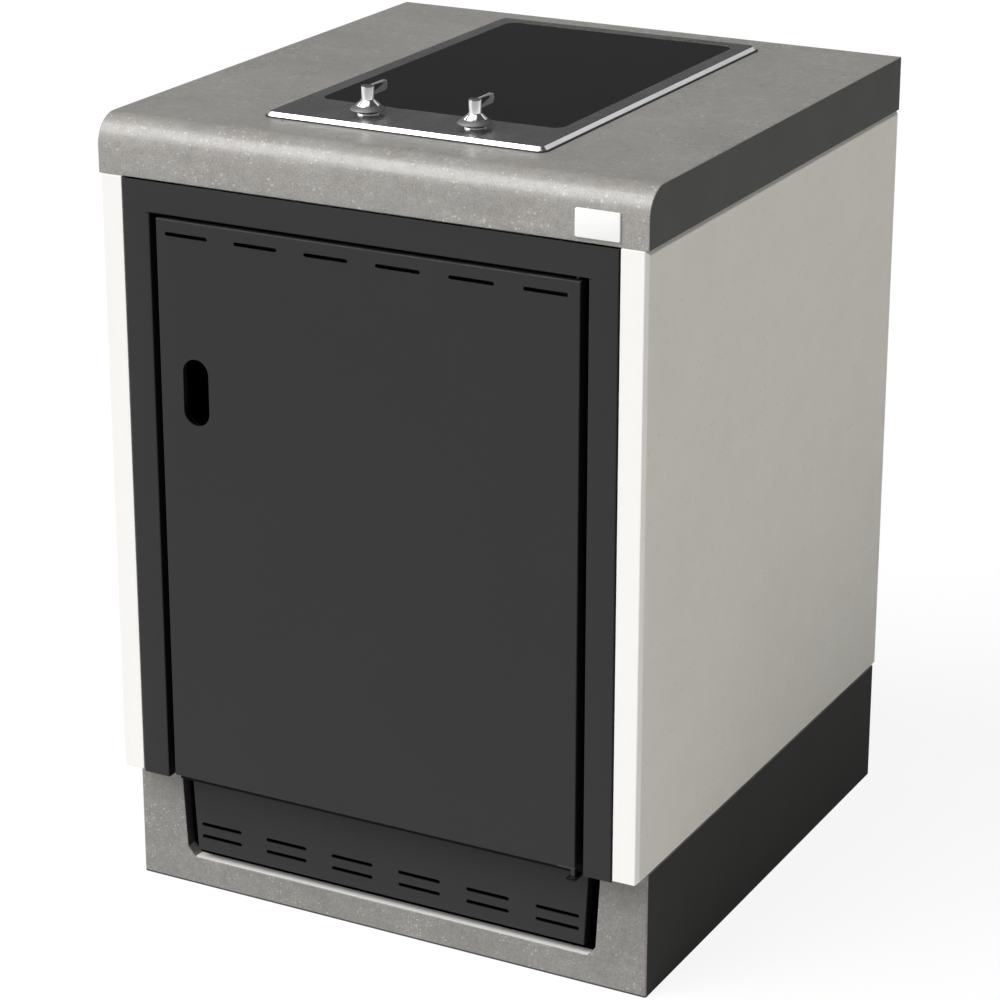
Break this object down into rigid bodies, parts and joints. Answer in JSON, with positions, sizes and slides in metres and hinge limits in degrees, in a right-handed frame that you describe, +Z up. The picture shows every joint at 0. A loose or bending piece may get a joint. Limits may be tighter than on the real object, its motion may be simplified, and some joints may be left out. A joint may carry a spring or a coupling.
{
  "type": "hob base unit",
  "caption": "Free-standing outdoor kitchen unit: stone worktop, sides and plinth, grey steel hinged door, and an inset glass hob with turn knobs.",
  "frame": {"origin": "on the floor, under the middle of the unit's outer box", "axes": "+X to the unit's right as seen from the front, +Y to the back, +Z up; the door faces -Y"},
  "size_m": [0.648, 0.67, 0.9355],
  "materials": {
    "cast_stone": "satin",
    "grey_powder_coat": "satin",
    "black_steel": "matte",
    "zinc_steel": "satin",
    "brushed_steel": "satin",
    "polished_metal": "polished",
    "satin_metal": "satin",
    "black_glass": "gloss",
    "black_rubber": "matte",
    "black_plastic": "matte",
    "white_plastic": "satin",
    "magnet": "matte",
    "quartz": "gloss",
    "ceramic_block": "satin",
    "fibre_insulation": "matte",
    "heating_alloy": "matte"
  },
  "bodies": {
    "cabinet": {"back_screws": "zinc_steel", "cable_gland": "black_plastic", "cable_grommet": "black_rubber", "carcass_back": "black_steel", "carcass_floor": "black_steel", "carcass_side_left": "black_steel", "carcass_side_right": "black_steel", "catch_body": "black_plastic", "catch_magnet": "magnet", "door_bumpers": "black_rubber", "face_frame": "grey_powder_coat", "front_top_rail": "zinc_steel", "front_zone_dish": "zinc_steel", "front_zone_insulation": "fibre_insulation", "front_zone_ribbon": "heating_alloy", "heater_bridges": "zinc_steel", "heater_springs": "zinc_steel", "hinge_tab": "grey_powder_coat", "hob_casing": "zinc_steel", "hob_clamp_screws": "zinc_steel", "hob_clamps": "zinc_steel", "hob_gasket": "black_rubber", "hob_glass": "black_glass", "hob_plate": "brushed_steel", "kick_brackets": "zinc_steel", "kick_nuts": "zinc_steel", "kick_panel": "grey_powder_coat", "knob_collars": "polished_metal", "lower_hinge_bush": "black_plastic", "name_plate": "white_plastic", "panel_packers": "black_rubber", "panel_spacers": "white_plastic", "plinth": "cast_stone", "rear_top_rail": "zinc_steel", "rear_zone_dish": "zinc_steel", "rear_zone_insulation": "fibre_insulation", "rear_zone_ribbon": "heating_alloy", "regulator_left": "black_plastic", "regulator_right": "black_plastic", "side_panel_bolts": "zinc_steel", "side_panel_left": "cast_stone", "side_panel_right": "cast_stone", "temperature_limiters": "quartz", "terminal_block": "ceramic_block", "upper_hinge_bush": "black_plastic", "worktop": "cast_stone", "worktop_screws": "zinc_steel"},
    "door": {"door_skin": "grey_powder_coat", "door_liner": "grey_powder_coat", "door_stiffeners": "zinc_steel", "door_pivot_blocks": "black_plastic", "lower_hinge_pin": "black_steel", "upper_hinge_pin": "black_steel", "catch_strike": "zinc_steel"},
    "left_knob": {"knob_left": "polished_metal", "knob_skirt_left": "satin_metal", "spindle_left": "zinc_steel"},
    "right_knob": {"knob_right": "polished_metal", "knob_skirt_right": "satin_metal", "spindle_right": "zinc_steel"}
  },
  "joints": [
    {"name": "door_hinge", "type": "hinge", "parent": "cabinet", "child": "door", "pos_m": [0.2445, -0.326, 0.15], "axis": [0, 0, 1], "range_deg": [0, 105]},
    {"name": "left_knob_turn", "type": "hinge", "parent": "cabinet", "child": "left_knob", "pos_m": [-0.064, -0.207, 0.9055], "axis": [0, 0, -1], "range_deg": [0, 270]},
    {"name": "right_knob_turn", "type": "hinge", "parent": "cabinet", "child": "right_knob", "pos_m": [0.064, -0.207, 0.9055], "axis": [0, 0, -1], "range_deg": [0, 270]}
  ]
}
